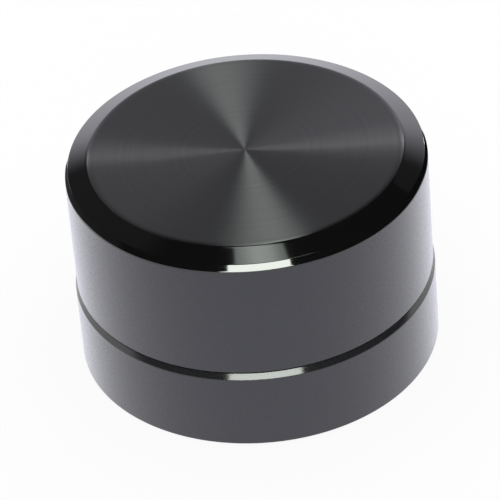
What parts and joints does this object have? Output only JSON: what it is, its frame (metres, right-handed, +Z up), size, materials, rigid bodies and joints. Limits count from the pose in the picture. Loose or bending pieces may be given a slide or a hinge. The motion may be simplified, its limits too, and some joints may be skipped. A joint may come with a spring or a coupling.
{
  "type": "control knob",
  "caption": "Plain round black anodised aluminium control knob with a spun top, mirror-cut chamfer and a bevelled foot ring, clamped on a 6 mm shaft by a set screw.",
  "frame": {"origin": "centre of the foot, on the shaft's axis", "axes": "+Z up the shaft's axis to the top face, +Y towards the set screw, which is at the back of the picture's view"},
  "size_m": [0.04, 0.04, 0.025],
  "materials": {
    "black_anodised": "black anodised, satin walls, spun top, mirror-cut edges",
    "blackened_steel": "black oxide"
  },
  "bodies": {
    "root": {"knob_body": "black_anodised", "grub_screw": "blackened_steel"}
  },
  "joints": []
}
